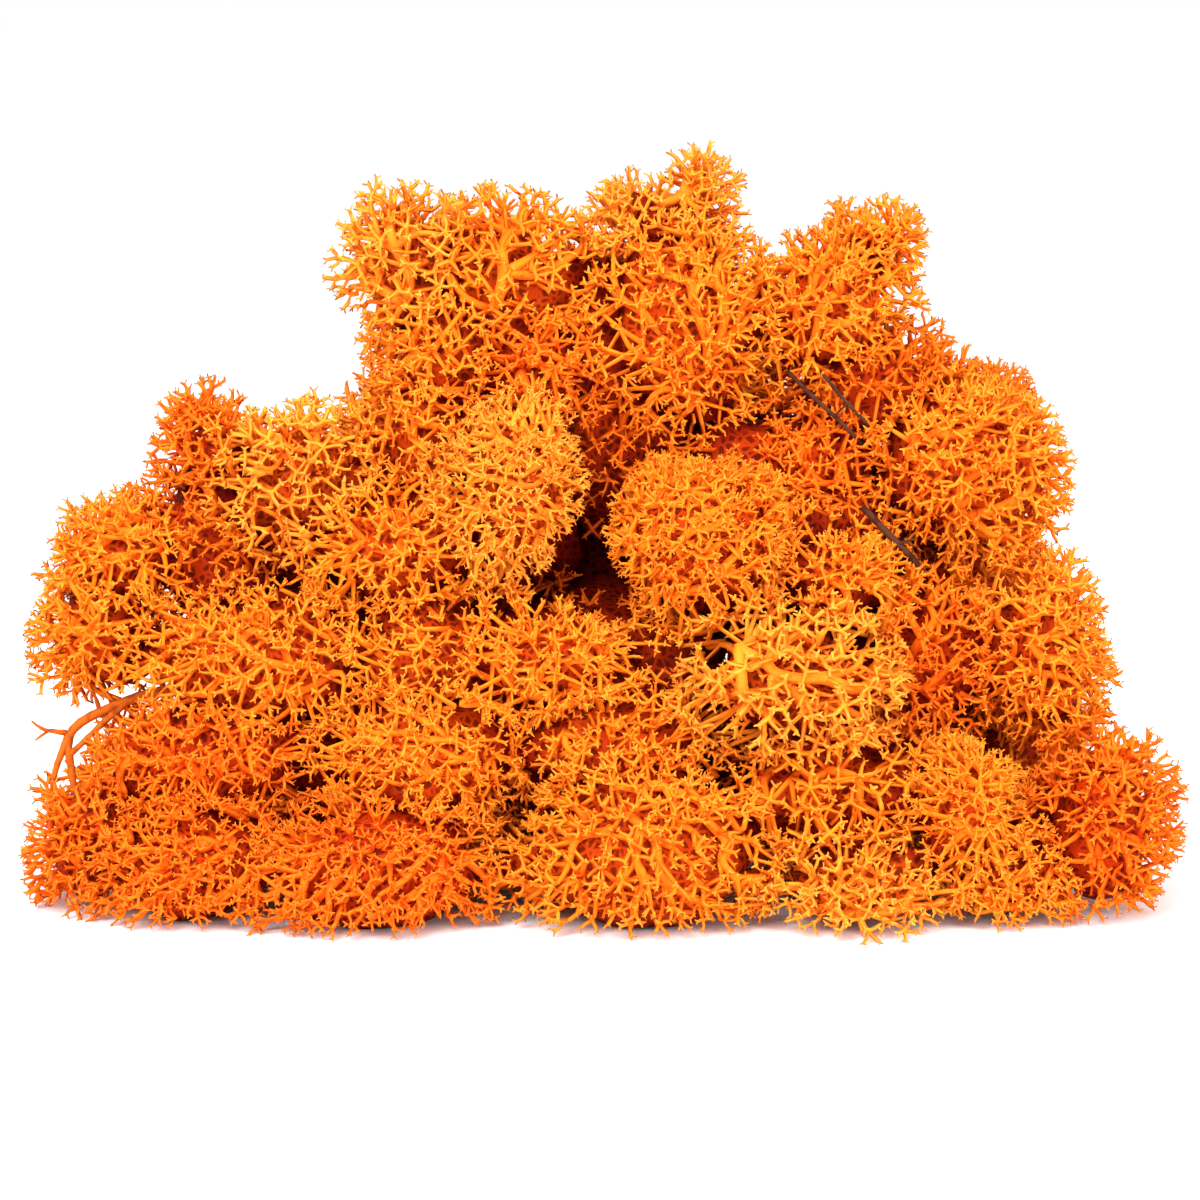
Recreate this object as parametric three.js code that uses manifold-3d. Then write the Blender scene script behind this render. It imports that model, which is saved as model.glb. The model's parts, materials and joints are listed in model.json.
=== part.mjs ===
// Reindeer moss clump: a loose heap of dyed reindeer lichen, as it is sold dried and preserved.
// Every cushion of the heap is one solid: a packed heart with antler-like forks standing out of it.
// Where two cushions press on each other both are flattened, and a hair of air is left between them.
// Millimetres, +Z up, +X along the heap's long side. The origin is at the middle of the base.
import * as THREE from "three";
import { mergeVertices } from "three/addons/utils/BufferGeometryUtils.js";
import Module from "manifold-3d";

const wasm = await Module();
wasm.setup();

// ---------------------------------------------------------------- driving dimensions

const GAP = 0.3; // clearance between two solids that press on each other
const ANTLER_LAYER = 8.6; // depth of the antlers between the packed heart and the tips
const LEAST_HEART = 0.5; // but the heart keeps this share of the cushion's own reach
const FILLED_SHARE = 0.97; // and this one on the sides that are packed in
const HEART_ROUGHNESS = 0.07; // how far the heart's surface wanders in and out, same share
const PACKED_IN = 7; // a side is packed in if another cushion is nearer than this
const PRESS_SHARE = 1.08; // a heart swells up to this share of its reach to meet a neighbour
const FLOOR_PRESS_SHARE = 1.3; // and up to this one to stand on the floor
const ANTLER_AREA = 355; // free surface that one antler covers, mm2
const OPEN_AIR = 45; // a way out is open if no other cushion is nearer than this
const LEAST_OPENNESS = 0.45; // share of the ways out that has to be open where an antler stands
const LOWEST_LEAN = -0.45; // antlers that would point further down than this are left out
const STALK_RADIUS = 2.4; // three-sided sections, from the axis to a corner
const ARM_RADIUS = 1.9;
const ARM_LENGTH = 6.8;
const TIP_LENGTH = 5.6;
const FORK_HEIGHT = 0.78; // how far a fork's middle rises, as a share of its section's radius
const TIP_RISE = 0.3; // how much the tips turn up along the antler
const WANDER = 0.18; // random lean of each arm and tip
const ANTLER_REACH = 8.2; // from the first fork to the tips, along the stalk, at size 1
const SMALLER_SIZES = [1, 0.88, 0.76, 0.64, 0.52]; // tried in turn where the cushion is hemmed in
const LEAST_RISE = 0.8; // height that all of an antler keeps over the face it stands on

// Cushions by layer, seen from the front: name, centre [x, y, z], reach [x, y, z], tone.
const CUSHIONS = [
  // the front foot, standing on the floor
  ["foot_far_left", [-124, -37, 14], [17, 18, 24], "rust"],
  ["foot_left", [-99, -50, 10], [22, 21, 21], "rust"],
  ["foot_mid_left", [-54, -56, 11], [30, 22, 23], "rust"],
  ["foot_middle", [11, -57, 15], [31, 23, 28], "orange"],
  ["foot_mid_right", [62, -59, 8], [24, 18, 16], "amber"],
  ["foot_right", [97, -52, 9], [18, 17, 16], "orange"],
  ["foot_far_right", [121, -44, 20], [19, 22, 28], "rust"],
  // the second layer
  ["sill_far_left", [-96, -36, 37], [30, 20, 18], "rust"],
  ["sill_left", [-43, -44, 38], [27, 21, 20], "orange"],
  ["sill_middle", [2, -42, 41], [27, 20, 17], "orange"],
  ["sill_right", [56, -45, 31], [27, 20, 18], "orange"],
  ["sill_ball", [87, -56, 28], [16, 17, 18], "orange"],
  // the belly
  ["belly_left", [-83, -31, 59], [33, 22, 20], "orange"],
  ["belly_mid_left", [-42, -35, 61], [22, 19, 19], "orange"],
  ["belly_middle", [-13, -41, 62], [22, 18, 15], "orange"],
  ["belly_recess", [15, -22, 57], [17, 16, 19], "shade"],
  ["belly_open", [46, -48, 58], [29, 20, 19], "amber"],
  ["belly_right", [82, -26, 59], [18, 18, 21], "rust"],
  ["belly_far_right", [108, -30, 62], [19, 21, 25], "orange"],
  // the chest and both shoulders
  ["shoulder_far_left", [-118, -17, 83], [19, 18, 16], "orange"],
  ["shoulder_hanging_left", [-124, -23, 63], [18, 17, 19], "orange"],
  ["chest_left", [-50, -29, 86], [23, 19, 18], "orange"],
  ["chest_bright", [-21, -33, 102], [18, 19, 23], "amber"],
  ["chest_ball", [24, -35, 91], [24, 21, 22], "orange"],
  ["chest_right", [58, -31, 80], [17, 17, 14], "orange"],
  ["shoulder_left_tip", [-97, -5, 108], [14, 15, 17], "rust"],
  ["shoulder_left_net", [-73, -17, 100], [22, 20, 24], "amber"],
  ["shoulder_left", [-43, -13, 112], [18, 18, 19], "orange"],
  ["shoulder_recess", [53, -11, 104], [18, 15, 16], "rust"],
  ["shoulder_right", [90, -13, 106], [27, 23, 25], "orange"],
  ["shoulder_right_back", [97, 21, 121], [14, 15, 13], "rust"],
  ["web_left", [-97, -9, 84], [22, 19, 22], "shade"],
  // the crown
  ["crown_left_fan", [-48, -2, 153], [21, 19, 22], "amber"],
  ["crown_left", [-21, -4, 150], [25, 20, 23], "orange"],
  ["crown_left_lobe", [-15, -15, 128], [16, 15, 15], "rust"],
  ["crown_left_root", [-42, -8, 131], [22, 19, 17], "orange"],
  ["crown_middle", [20, -7, 138], [24, 20, 28], "orange"],
  ["crown_peak", [21, 5, 165], [20, 19, 17], "amber"],
  ["crown_right", [57, -3, 143], [21, 20, 22], "orange"],
  ["crown_right_tip", [71, 6, 159], [13, 13, 11], "orange"],
  ["crown_right_root", [68, -1, 123], [25, 20, 18], "shade"],
  // the heart of the heap, which carries the rest
  ["inner_left", [-63, -7, 35], [34, 34, 36], "shade"],
  ["inner_right", [59, -11, 34], [38, 35, 35], "shade"],
  ["inner_middle", [-3, -7, 37], [38, 39, 41], "shade"],
  ["inner_upper_left", [-34, 2, 89], [36, 28, 31], "shade"],
  ["inner_upper_right", [43, 1, 89], [41, 29, 32], "shade"],
  ["inner_crown", [0, 6, 119], [31, 25, 40], "shade"],
  // the back
  ["back_far_left", [-108, 7, 20], [28, 28, 24], "orange"],
  ["back_foot_left", [-66, 41, 22], [31, 26, 26], "orange"],
  ["back_foot_middle", [-6, 50, 20], [32, 25, 23], "orange"],
  ["back_foot_right", [57, 44, 21], [30, 26, 24], "orange"],
  ["back_far_right", [105, 8, 23], [26, 27, 27], "orange"],
  ["back_belly_left", [-73, 25, 64], [31, 23, 25], "orange"],
  ["back_belly_middle", [-11, 34, 67], [32, 24, 27], "orange"],
  ["back_belly_right", [50, 32, 66], [30, 24, 24], "orange"],
  ["back_belly_far_right", [91, 11, 74], [26, 23, 26], "orange"],
  ["back_chest_left", [-45, 25, 104], [29, 22, 26], "orange"],
  ["back_chest_right", [26, 28, 107], [32, 23, 26], "orange"],
];

// The bare stalk that leaves the left of the heap and bends down to the floor layer.
const BARE_STALK = {
  name: "bare_stalk",
  route: [
    [-94, -26, 52],
    [-110, -27, 50],
    [-123, -29, 45],
    [-129, -31, 37],
    [-128, -33, 26],
  ],
  radius: 1.3,
  twig: [
    [-126, -29, 42],
    [-132, -32, 42],
    [-138, -34, 45],
  ],
  twigRadius: 0.8,
};

// ---------------------------------------------------------------- small helpers

/** Repeatable random numbers from 0 to 1. */
function randomFrom(seed) {
  let state = seed >>> 0;
  return () => {
    state = (state + 0x6d2b79f5) >>> 0;
    let mixed = Math.imul(state ^ (state >>> 15), state | 1);
    mixed ^= mixed + Math.imul(mixed ^ (mixed >>> 7), mixed | 61);
    return ((mixed ^ (mixed >>> 14)) >>> 0) / 2 ** 32;
  };
}

/** A vector of the given length in a random direction. */
function jitter(random, length) {
  const vector = new THREE.Vector3(random() - 0.5, random() - 0.5, random() - 0.5);
  return vector.normalize().multiplyScalar(length * random());
}

/** Evenly spread unit vectors, turned by a random amount. */
function spreadDirections(count, random) {
  const goldenTurn = Math.PI * (3 - Math.sqrt(5));
  const start = random() * 2 * Math.PI;
  const tilt = new THREE.Quaternion().setFromUnitVectors(
    new THREE.Vector3(0, 0, 1),
    jitter(random, 1).normalize(),
  );
  return Array.from({ length: count }, (_, i) => {
    const height = 1 - (2 * (i + 0.5)) / count;
    const width = Math.sqrt(1 - height * height);
    const turn = start + i * goldenTurn;
    return new THREE.Vector3(
      width * Math.cos(turn),
      width * Math.sin(turn),
      height,
    ).applyQuaternion(tilt);
  });
}

function solidFrom(vertices, triangles) {
  const mesh = new wasm.Mesh({
    numProp: 3,
    vertProperties: new Float32Array(vertices.flatMap((v) => [v.x, v.y, v.z])),
    triVerts: new Uint32Array(triangles.flat()),
  });
  return new wasm.Manifold(mesh);
}

/** The largest body of a solid: scraps that a cut has left loose are dropped. */
function largestBody(solid) {
  return solid
    .decompose()
    .reduce((best, body) => (body.volume() > best.volume() ? body : best));
}

function geometryOf(solid) {
  const { vertProperties, triVerts } = solid.getMesh();
  const geometry = new THREE.BufferGeometry();
  geometry.setAttribute("position", new THREE.BufferAttribute(vertProperties, 3));
  geometry.setIndex(new THREE.BufferAttribute(triVerts, 1));
  geometry.computeVertexNormals();
  return geometry;
}

// ---------------------------------------------------------------- cushions and their cells

const cushions = CUSHIONS.map(([name, centre, reach, tone], index) => ({
  name,
  tone,
  centre: new THREE.Vector3(...centre),
  reach: new THREE.Vector3(...reach),
  random: randomFrom(1009 + 37 * index),
  walls: [],
}));

/** Distance from a cushion's centre to its surface along a unit vector. */
function reachAlong(cushion, direction) {
  return 1 / direction.clone().divide(cushion.reach).length();
}

/** The two flat walls, one on each cushion, where a pair of neighbours would meet. */
function addWalls(a, b) {
  const between = b.centre.clone().sub(a.centre);
  const apart = between.length();
  if (apart > Math.max(...a.reach) + Math.max(...b.reach) + GAP) return;
  const towards = between.normalize();
  const away = towards.clone().negate();
  const reachA = reachAlong(a, towards);
  const reachB = reachAlong(b, away);
  const meets = (apart * reachA) / (reachA + reachB);
  const pressed = reachA * PRESS_SHARE > meets;
  a.walls.push({ normal: towards, distance: meets - GAP / 2, pressed });
  b.walls.push({ normal: away, distance: apart - meets - GAP / 2, pressed });
}

cushions.forEach((a, i) => cushions.slice(i + 1).forEach((b) => addWalls(a, b)));

/** Adds the floor, for cushions that reach it. */
function addFloor(cushion) {
  const pressed = cushion.centre.z < cushion.reach.z;
  const normal = new THREE.Vector3(0, 0, -1);
  cushion.walls.push({ normal, distance: cushion.centre.z, pressed, floor: true });
}

cushions.forEach(addFloor);

/** Distance to the nearest wall along a unit vector, and that wall. */
function wallAlong(cushion, direction) {
  let nearest = { distance: Infinity, wall: null };
  for (const wall of cushion.walls) {
    const facing = wall.normal.dot(direction);
    const distance = facing > 1e-6 ? wall.distance / facing : Infinity;
    if (distance < nearest.distance) nearest = { distance, wall };
  }
  return nearest;
}

function insideCell(cushion, point) {
  return cushion.walls.every((wall) => wall.normal.dot(point) <= wall.distance);
}

/** Whether another cushion lies nearer than `way` in front of a point of this one. */
function hidden(cushion, point, direction, way) {
  const start = point.clone().add(cushion.centre);
  return cushions.some((other) => {
    if (other === cushion) return false;
    const from = start.clone().sub(other.centre).divide(other.reach);
    const along = direction.clone().divide(other.reach);
    const a = along.lengthSq();
    const b = from.dot(along);
    const c = from.lengthSq() - 1;
    const root = b * b - a * c;
    if (root < 0) return false;
    const hit = (-b - Math.sqrt(root)) / a;
    return hit > 0 ? hit < way : c < 0;
  });
}

// ---------------------------------------------------------------- the packed heart

/** Turns the heart's corner that is nearest to each pressed wall until it faces the wall squarely. */
function faceTheWalls(corners, walls) {
  const turned = new Set();
  for (const wall of walls.filter((w) => w.pressed)) {
    const closeness = corners.map((c, i) => (turned.has(i) ? -1 : c.dot(wall.normal)));
    const nearest = closeness.indexOf(Math.max(...closeness));
    turned.add(nearest);
    corners[nearest].copy(wall.normal);
  }
}

/** Distance from the centre to the heart's surface along a unit vector. */
function heartReach(cushion, direction) {
  const full = reachAlong(cushion, direction);
  const { distance, wall } = wallAlong(cushion, direction);
  const swollen = full * (wall?.floor ? FLOOR_PRESS_SHARE : PRESS_SHARE);
  if (wall?.pressed && distance < swollen) return distance;
  const surface = direction.clone().multiplyScalar(full);
  const packedIn = hidden(cushion, surface, direction, PACKED_IN);
  const openShare = Math.max(1 - ANTLER_LAYER / full, LEAST_HEART);
  const share = packedIn ? FILLED_SHARE : openShare;
  const rough = share + HEART_ROUGHNESS * (2 * cushion.random() - 1);
  return Math.min(full * rough, distance);
}

/** The heart's corners, and its faces as triples of corners. */
function heart(cushion) {
  const ball = new THREE.IcosahedronGeometry(1, 1);
  ball.deleteAttribute("normal");
  ball.deleteAttribute("uv");
  const welded = mergeVertices(ball, 1e-4);
  const turn = new THREE.Quaternion().setFromUnitVectors(
    new THREE.Vector3(1, 0, 0),
    jitter(cushion.random, 1).normalize(),
  );
  const corners = Array.from({ length: welded.attributes.position.count }, (_, i) =>
    new THREE.Vector3()
      .fromBufferAttribute(welded.attributes.position, i)
      .applyQuaternion(turn)
      .normalize(),
  );
  faceTheWalls(corners, cushion.walls);
  corners.forEach((corner) => corner.setLength(heartReach(cushion, corner)));
  const index = Array.from(welded.index.array);
  const faces = Array.from({ length: index.length / 3 }, (_, i) =>
    index.slice(3 * i, 3 * i + 3),
  );
  return { corners, faces };
}

// ---------------------------------------------------------------- antlers

/** A three-sided, forking body that grows ring by ring from its root. */
class Sprout {
  vertices = [];
  triangles = [];

  add(point) {
    return this.vertices.push(point) - 1;
  }

  /** Starts from a face that the sprout stands on. */
  root(corners) {
    const [a, b, c] = corners.map((corner) => this.add(corner.clone()));
    this.triangles.push([a, c, b]);
    return [a, b, c];
  }

  centreOf(ring) {
    const sum = new THREE.Vector3();
    ring.forEach((i) => sum.add(this.vertices[i]));
    return sum.divideScalar(ring.length);
  }

  normalOf([a, b, c]) {
    const [p, q, r] = [a, b, c].map((i) => this.vertices[i]);
    return q.clone().sub(p).cross(r.clone().sub(p)).normalize();
  }

  /** Draws a ring out to a new centre and radius, and returns the ring at its end. */
  grow(ring, centre, axis, radius) {
    const middle = this.centreOf(ring);
    const end = ring.map((i) => {
      const offset = this.vertices[i].clone().sub(middle).projectOnPlane(axis);
      return this.add(offset.setLength(radius).add(centre));
    });
    ring.forEach((a, i) => {
      const next = (i + 1) % 3;
      this.triangles.push([a, ring[next], end[next]], [a, end[next], end[i]]);
    });
    return end;
  }

  /** Raises the middle of a ring and returns the three faces round it, as rings. */
  fork(ring, axis, height) {
    const middle = this.add(this.centreOf(ring).addScaledVector(axis, height));
    return ring.map((a, i) => [a, ring[(i + 1) % 3], middle]);
  }

  point(ring, tip) {
    const end = this.add(tip);
    ring.forEach((a, i) => this.triangles.push([a, ring[(i + 1) % 3], end]));
  }
}

/** One antler: a stalk that forks into three arms, each ending in three pointed tips. */
function antler(root, neck, axis, size, random) {
  const sprout = new Sprout();
  const top = sprout.grow(sprout.root(root), neck, axis, STALK_RADIUS * size);
  for (const face of sprout.fork(top, axis, STALK_RADIUS * FORK_HEIGHT * size)) {
    const lean = sprout.normalOf(face).add(jitter(random, WANDER)).normalize();
    const armLength = ARM_LENGTH * size * (0.85 + 0.3 * random());
    const armEnd = sprout.centreOf(face).addScaledVector(lean, armLength);
    const end = sprout.grow(face, armEnd, lean, ARM_RADIUS * size);
    for (const facet of sprout.fork(end, lean, ARM_RADIUS * FORK_HEIGHT * size)) {
      const turned = sprout.normalOf(facet).addScaledVector(axis, TIP_RISE);
      const tipLean = turned.add(jitter(random, WANDER)).normalize();
      const tipLength = TIP_LENGTH * size * (0.8 + 0.4 * random());
      sprout.point(facet, sprout.centreOf(facet).addScaledVector(tipLean, tipLength));
    }
  }
  return sprout;
}

/** A place for an antler on a face of the heart, with the way it leans and where its tips end. */
function siteOn(cushion, root) {
  const direction = new THREE.Vector3().addVectors(root[0], root[1]).add(root[2]).normalize();
  const tip = direction.clone().multiplyScalar(reachAlong(cushion, direction));
  const square = tip.clone().divide(cushion.reach).divide(cushion.reach).normalize();
  const axis = direction.clone().multiplyScalar(0.6).add(square).normalize();
  return { root, direction, tip, axis };
}

const WAYS = spreadDirections(40, randomFrom(7));

function looksOut(cushion, { direction, tip, axis }) {
  if (axis.z < LOWEST_LEAN) return false;
  if (wallAlong(cushion, direction).distance < tip.length() * 0.9) return false;
  const ways = WAYS.filter((way) => way.dot(axis) > 0.35);
  const open = ways.filter((way) => !hidden(cushion, tip, way, OPEN_AIR));
  return open.length > LEAST_OPENNESS * ways.length;
}

/** The largest antler that fits at a site, clear of the walls and of the bodies given. */
function fittingAntler(cushion, { root, tip, axis }, bodies) {
  const face = new THREE.Plane().setFromCoplanarPoints(...root);
  for (const size of SMALLER_SIZES) {
    const neck = tip.clone().addScaledVector(axis, -ANTLER_REACH * size);
    const sprout = antler(root, neck, axis, size, cushion.random);
    const grown = sprout.vertices.slice(root.length);
    if (!grown.every((v) => insideCell(cushion, v))) continue;
    if (!grown.every((v) => face.distanceToPoint(v) > LEAST_RISE)) continue;
    const body = solidFrom(sprout.vertices, sprout.triangles);
    if (bodies.every((other) => body.intersect(other).isEmpty())) return body;
  }
  return null;
}

/** Takes from `sites` the one that is furthest from those already used. */
function takeFurthest(sites, used) {
  const closeness = sites.map((site) =>
    Math.max(-1, ...used.map((other) => other.direction.dot(site.direction))),
  );
  return sites.splice(closeness.indexOf(Math.min(...closeness)), 1)[0];
}

/** The heart with antlers spread over every side that looks out into the open. */
function grownCushion(cushion) {
  const { corners, faces } = heart(cushion);
  const heartBody = solidFrom(corners, faces);
  const sites = faces
    .map((face) => siteOn(cushion, face.map((i) => corners[i])))
    .filter((site) => looksOut(cushion, site));
  const [x, y, z] = cushion.reach;
  const area = 4 * Math.PI * ((x * y + y * z + z * x) / 3);
  const wanted = Math.round((area * sites.length) / faces.length / ANTLER_AREA);
  const used = [];
  const antlers = [];
  while (antlers.length < wanted && sites.length > 0) {
    const site = takeFurthest(sites, used);
    const body = fittingAntler(cushion, site, [heartBody, ...antlers]);
    if (body) {
      used.push(site);
      antlers.push(body);
    }
  }
  return antlers.reduce((sum, body) => sum.add(body), heartBody);
}

// ---------------------------------------------------------------- the bare stalk

/** A bent five-sided rod through the given points; `extra` makes it thicker and longer. */
function rod(points, radius, extra) {
  const route = points.map((p) => new THREE.Vector3(...p));
  const [first, second] = route;
  const [beforeLast, last] = route.slice(-2);
  first.addScaledVector(first.clone().sub(second).normalize(), extra);
  last.addScaledVector(last.clone().sub(beforeLast).normalize(), extra);
  const corners = [0, 1, 2, 3, 4].map((i) => {
    const turn = (i * 2 * Math.PI) / 5;
    return new THREE.Vector2(Math.cos(turn), Math.sin(turn)).multiplyScalar(radius + extra);
  });
  const bent = new THREE.ExtrudeGeometry(new THREE.Shape(corners), {
    extrudePath: new THREE.CatmullRomCurve3(route),
    steps: 2 * (route.length - 1),
  });
  bent.deleteAttribute("normal");
  bent.deleteAttribute("uv");
  const welded = mergeVertices(bent, 1e-3);
  return new wasm.Manifold(
    new wasm.Mesh({
      numProp: 3,
      vertProperties: welded.attributes.position.array,
      triVerts: new Uint32Array(welded.index.array),
    }),
  );
}

function bareStalk(extra) {
  const main = rod(BARE_STALK.route, BARE_STALK.radius, extra);
  return main.add(rod(BARE_STALK.twig, BARE_STALK.twigRadius, extra));
}

// ---------------------------------------------------------------- assembly

/** A dull, dyed plant surface of one colour; its name is the colour's. */
function dyed(name, color) {
  return new THREE.MeshStandardMaterial({ name, color, roughness: 0.8, metalness: 0 });
}

const TONES = {
  amber: dyed("lichen_amber", 0xf59a2e),
  orange: dyed("lichen_orange", 0xf58220),
  rust: dyed("lichen_rust", 0xe06a18),
  shade: dyed("lichen_shade", 0x9c3d0c),
  stalk: dyed("old_stalk", 0xb4480f),
};

const heap = new THREE.Group();

const stalkHole = bareStalk(GAP);
for (const cushion of cushions) {
  const { x, y, z } = cushion.centre;
  const cleared = grownCushion(cushion).subtract(stalkHole.translate([-x, -y, -z]));
  const mesh = new THREE.Mesh(geometryOf(largestBody(cleared)), TONES[cushion.tone]);
  mesh.name = cushion.name;
  mesh.position.copy(cushion.centre);
  heap.add(mesh);
}

const stalk = new THREE.Mesh(geometryOf(bareStalk(0)), TONES.stalk);
stalk.name = BARE_STALK.name;
heap.add(stalk);

const extent = new THREE.Box3().setFromObject(heap);
const middle = extent.getCenter(new THREE.Vector3());
heap.position.set(-middle.x, -middle.y, 0);

export default heap;
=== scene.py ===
import heapq
import json
import math
import random

import bmesh
import bpy
import numpy as np
from mathutils import Matrix, Vector, noise


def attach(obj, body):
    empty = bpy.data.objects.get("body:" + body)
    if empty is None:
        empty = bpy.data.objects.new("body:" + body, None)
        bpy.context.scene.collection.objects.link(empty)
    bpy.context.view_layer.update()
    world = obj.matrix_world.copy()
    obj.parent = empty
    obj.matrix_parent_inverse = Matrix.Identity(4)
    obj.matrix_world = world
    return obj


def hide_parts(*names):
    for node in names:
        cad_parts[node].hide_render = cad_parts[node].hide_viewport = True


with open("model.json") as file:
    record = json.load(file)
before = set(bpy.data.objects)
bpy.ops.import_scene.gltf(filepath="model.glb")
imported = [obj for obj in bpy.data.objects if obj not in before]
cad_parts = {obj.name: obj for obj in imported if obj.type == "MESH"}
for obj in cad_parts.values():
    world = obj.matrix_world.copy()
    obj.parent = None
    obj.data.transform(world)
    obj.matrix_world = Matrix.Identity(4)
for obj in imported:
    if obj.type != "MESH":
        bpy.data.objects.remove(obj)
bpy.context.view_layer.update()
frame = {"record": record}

bl_info = {
    "name": "Reindeer Moss Clump",
    "version": (1, 0, 0),
    "blender": (4, 5, 0),
    "location": "3D View > Sidebar > Moss clump",
    "description": "Grows the star-tipped branches of a dyed reindeer lichen heap over its solids",
    "category": "Object",
}

MM = 0.001
UP = Vector((0, 0, 1))

# How a cushion grows. head: width of its star heads over the usual width. gap: distance between
# heads over the usual one. heart: how deep under its open skin its crowded heart lies, in mm.
# layers: layers of heads. stout: thickness of its branches over the usual one. sunk: how far the
# dips in its skin go down, in mm. light: share of open air that a spot needs for a head to grow.
HABITS = {
    "tight": dict(head=0.76, gap=0.78, heart=8.0, layers=2, stout=0.9, sunk=2.5, light=0.2),
    "usual": dict(head=0.94, gap=0.96, heart=9.0, layers=2, stout=1.0, sunk=3.5, light=0.2),
    "loose": dict(head=1.0, gap=1.04, heart=11.0, layers=2, stout=1.1, sunk=4.5, light=0.2),
    "netted": dict(head=1.1, gap=1.2, heart=11.5, layers=3, stout=1.2, sunk=4.0, light=0.2),
    "buried": dict(head=1.1, gap=1.4, heart=7.0, layers=2, stout=1.0, sunk=2.0, light=0.27),
    "behind": dict(head=1.02, gap=1.2, heart=8.0, layers=2, stout=1.0, sunk=4.0, light=0.22),
}

# Each cushion: its habit, and the middle and half widths of its rounded form, in mm.
FEET = {
    "foot_far_left": ("usual", (-123.6, -34.2, 14), (17, 18, 24)),
    "foot_left": ("tight", (-98.6, -47.2, 10), (22, 21, 21)),
    "foot_mid_left": ("tight", (-53.6, -53.2, 11), (30, 22, 23)),
    "foot_middle": ("usual", (11.4, -54.2, 15), (31, 23, 28)),
    "foot_mid_right": ("usual", (62.4, -56.2, 8), (24, 18, 16)),
    "foot_right": ("tight", (97.4, -49.2, 9), (18, 17, 16)),
    "foot_far_right": ("usual", (121.4, -41.2, 20), (19, 22, 28)),
}
SILLS = {
    "sill_far_left": ("tight", (-95.6, -33.2, 37), (30, 20, 18)),
    "sill_left": ("tight", (-42.6, -41.2, 38), (27, 21, 20)),
    "sill_middle": ("usual", (2.4, -39.2, 41), (27, 20, 17)),
    "sill_right": ("netted", (56.4, -42.2, 31), (27, 20, 18)),
    "sill_ball": ("tight", (87.4, -53.2, 28), (16, 17, 18)),
}
BELLY = {
    "belly_left": ("usual", (-82.6, -28.2, 59), (33, 22, 20)),
    "belly_mid_left": ("usual", (-41.6, -32.2, 61), (22, 19, 19)),
    "belly_middle": ("usual", (-12.6, -38.2, 62), (22, 18, 15)),
    "belly_recess": ("usual", (15.4, -19.2, 57), (17, 16, 19)),
    "belly_open": ("netted", (46.4, -45.2, 58), (29, 20, 19)),
    "belly_right": ("usual", (82.4, -23.2, 59), (18, 18, 21)),
    "belly_far_right": ("usual", (108.4, -27.2, 62), (19, 21, 25)),
}
CHEST = {
    "chest_left": ("usual", (-49.6, -26.2, 86), (23, 19, 18)),
    "chest_bright": ("tight", (-20.6, -30.2, 102), (18, 19, 23)),
    "chest_ball": ("tight", (24.4, -32.2, 91), (24, 21, 22)),
    "chest_right": ("usual", (58.4, -28.2, 80), (17, 17, 14)),
}
SHOULDERS = {
    "shoulder_far_left": ("usual", (-117.6, -14.2, 83), (19, 18, 16)),
    "shoulder_hanging_left": ("usual", (-123.6, -20.2, 63), (18, 17, 19)),
    "shoulder_left_tip": ("loose", (-96.6, -2.2, 108), (14, 15, 17)),
    "shoulder_left_net": ("netted", (-72.6, -14.2, 100), (22, 20, 24)),
    "shoulder_left": ("usual", (-42.6, -10.2, 112), (18, 18, 19)),
    "shoulder_recess": ("usual", (53.4, -8.2, 104), (18, 15, 16)),
    "shoulder_right": ("usual", (90.4, -10.2, 106), (27, 23, 25)),
    "shoulder_right_back": ("tight", (97.4, 23.8, 121), (14, 15, 13)),
    "web_left": ("usual", (-96.6, -6.2, 84), (22, 19, 22)),
}
CROWN = {
    "crown_left_fan": ("netted", (-47.6, 0.8, 153), (21, 19, 22)),
    "crown_left": ("netted", (-20.6, -1.2, 150), (25, 20, 23)),
    "crown_left_lobe": ("usual", (-14.6, -12.2, 128), (16, 15, 15)),
    "crown_left_root": ("usual", (-41.6, -5.2, 131), (22, 19, 17)),
    "crown_middle": ("usual", (20.4, -4.2, 138), (24, 20, 28)),
    "crown_peak": ("loose", (21.4, 7.8, 165), (20, 19, 17)),
    "crown_right": ("usual", (57.4, -0.2, 143), (21, 20, 22)),
    "crown_right_tip": ("loose", (71.4, 8.8, 159), (13, 13, 11)),
    "crown_right_root": ("usual", (68.4, 1.8, 123), (25, 20, 18)),
}
INSIDE = {
    "inner_left": ("buried", (-62.6, -4.2, 35), (34, 34, 36)),
    "inner_right": ("buried", (59.4, -8.2, 34), (38, 35, 35)),
    "inner_middle": ("buried", (-2.6, -4.2, 37), (38, 39, 41)),
    "inner_upper_left": ("buried", (-33.6, 4.8, 89), (36, 28, 31)),
    "inner_upper_right": ("buried", (43.4, 3.8, 89), (41, 29, 32)),
    "inner_crown": ("usual", (0.4, 8.8, 119), (31, 25, 40)),
}
BACK = {
    "back_far_left": ("behind", (-107.6, 9.8, 20), (28, 28, 24)),
    "back_foot_left": ("behind", (-65.6, 43.8, 22), (31, 26, 26)),
    "back_foot_middle": ("behind", (-5.6, 52.8, 20), (32, 25, 23)),
    "back_foot_right": ("behind", (57.4, 46.8, 21), (30, 26, 24)),
    "back_far_right": ("behind", (105.4, 10.8, 23), (26, 27, 27)),
    "back_belly_left": ("behind", (-72.6, 27.8, 64), (31, 23, 25)),
    "back_belly_middle": ("behind", (-10.6, 36.8, 67), (32, 24, 27)),
    "back_belly_right": ("behind", (50.4, 34.8, 66), (30, 24, 24)),
    "back_belly_far_right": ("behind", (91.4, 13.8, 74), (26, 23, 26)),
    "back_chest_left": ("behind", (-44.6, 27.8, 104), (29, 22, 26)),
    "back_chest_right": ("behind", (26.4, 30.8, 107), (32, 23, 26)),
}
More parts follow.
